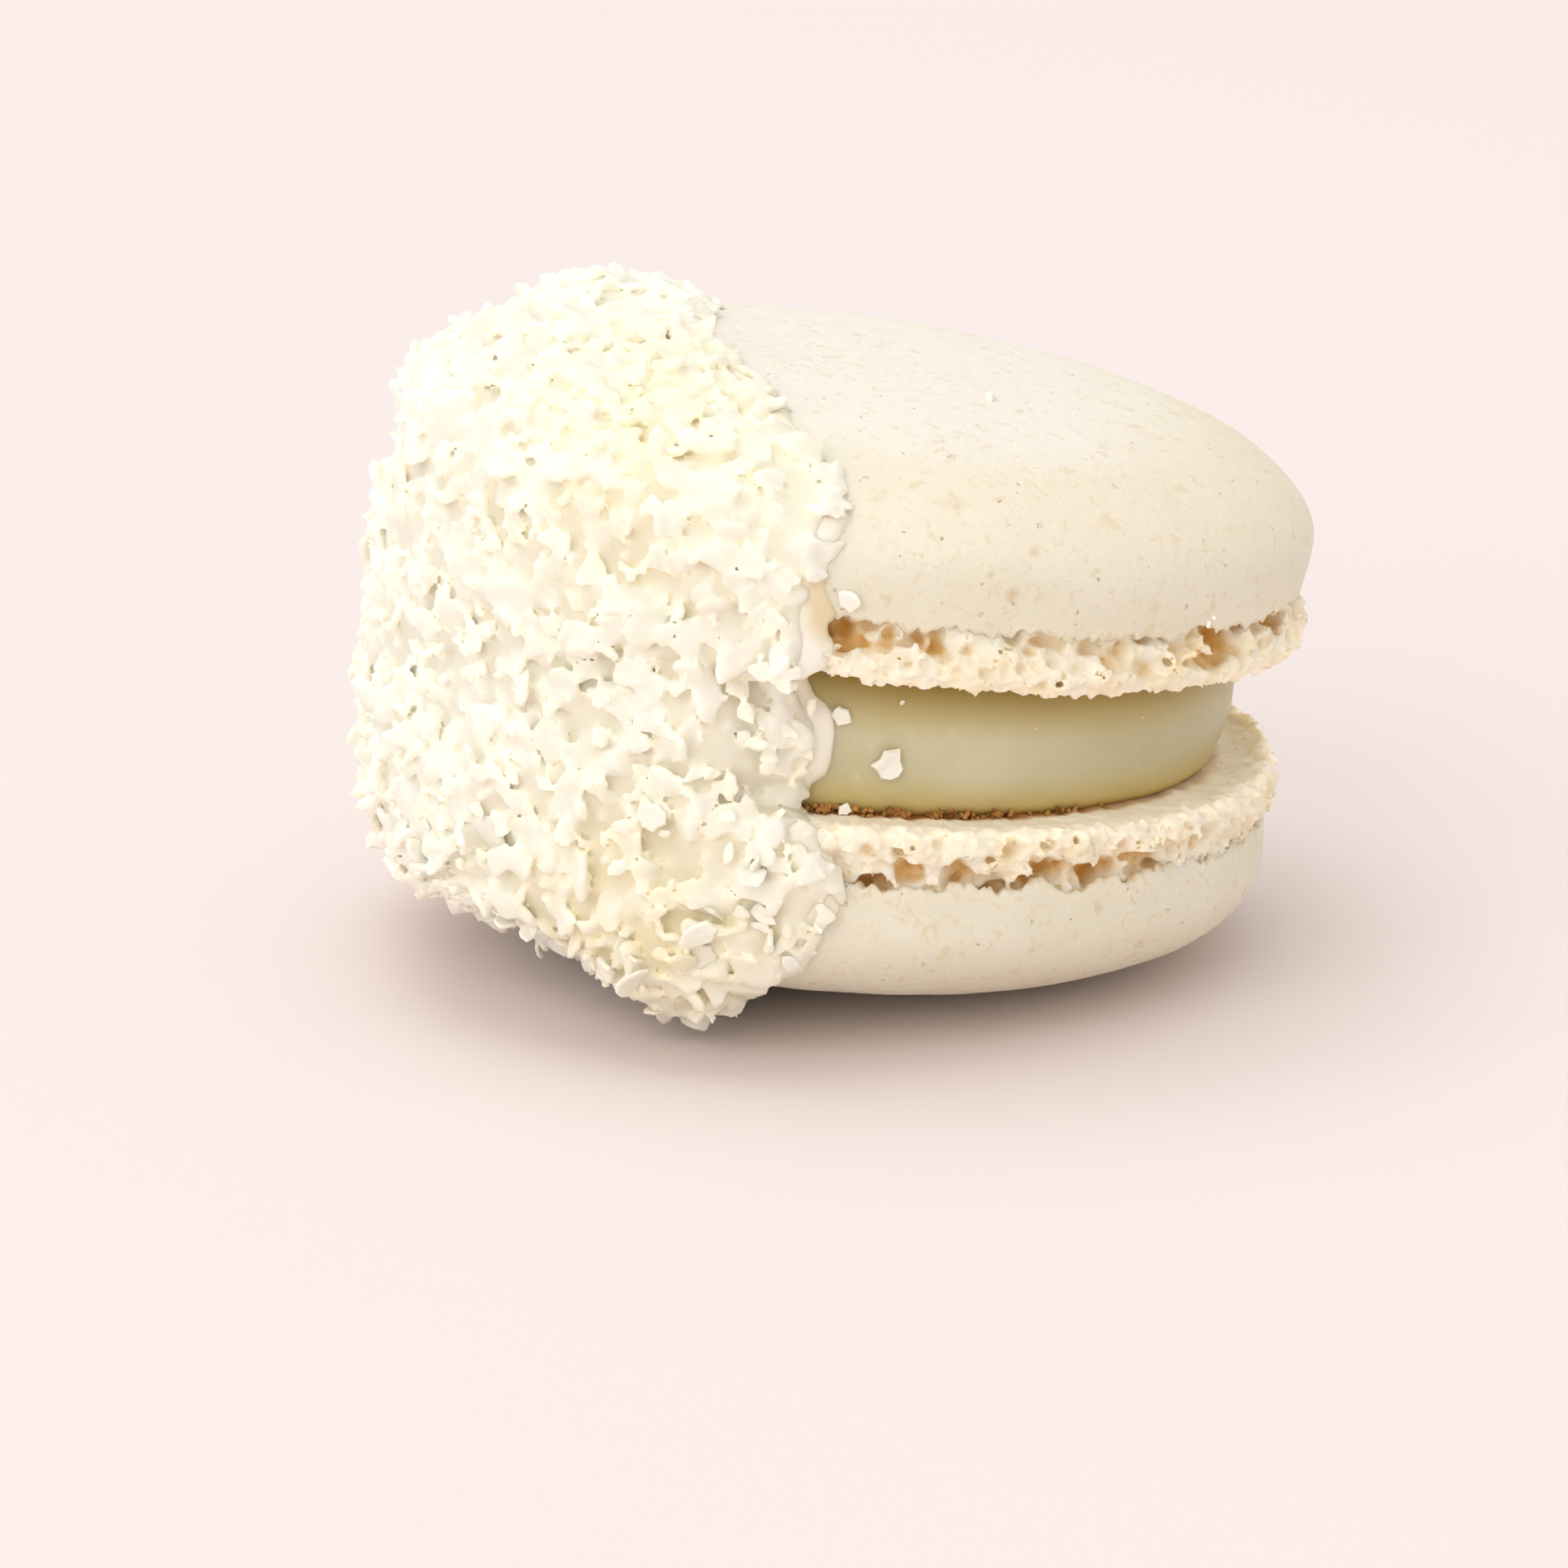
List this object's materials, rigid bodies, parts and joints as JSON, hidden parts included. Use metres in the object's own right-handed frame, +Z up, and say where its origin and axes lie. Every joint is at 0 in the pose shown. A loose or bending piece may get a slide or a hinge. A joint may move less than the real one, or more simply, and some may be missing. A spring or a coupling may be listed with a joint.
{
  "type": "french macaron half dipped in white chocolate and coconut",
  "caption": "Filled almond macaron with ruffled feet, one end dipped in white chocolate and rolled in coconut flakes, leaning on its coated end.",
  "frame": {"origin": "middle of the small flat spot under the lower shell, which the macaron rests on", "axes": "+X away from the coated end, across the cut of the dip; +Y away from the side that faces the viewer; +Z up"},
  "size_m": [0.0487, 0.0473, 0.0329],
  "materials": {
    "shell": "dry, matt, ivory almond meringue with fine pits and tan flecks",
    "filling": "smooth, satin, slightly translucent pale buttercream",
    "coating": "pale ivory white chocolate with a soft sheen",
    "coconut": "white, slightly translucent desiccated coconut flakes"
  },
  "bodies": {
    "root": {"lower_shell": "shell", "upper_shell": "shell", "filling": "filling", "coating": "coating"}
  },
  "joints": []
}
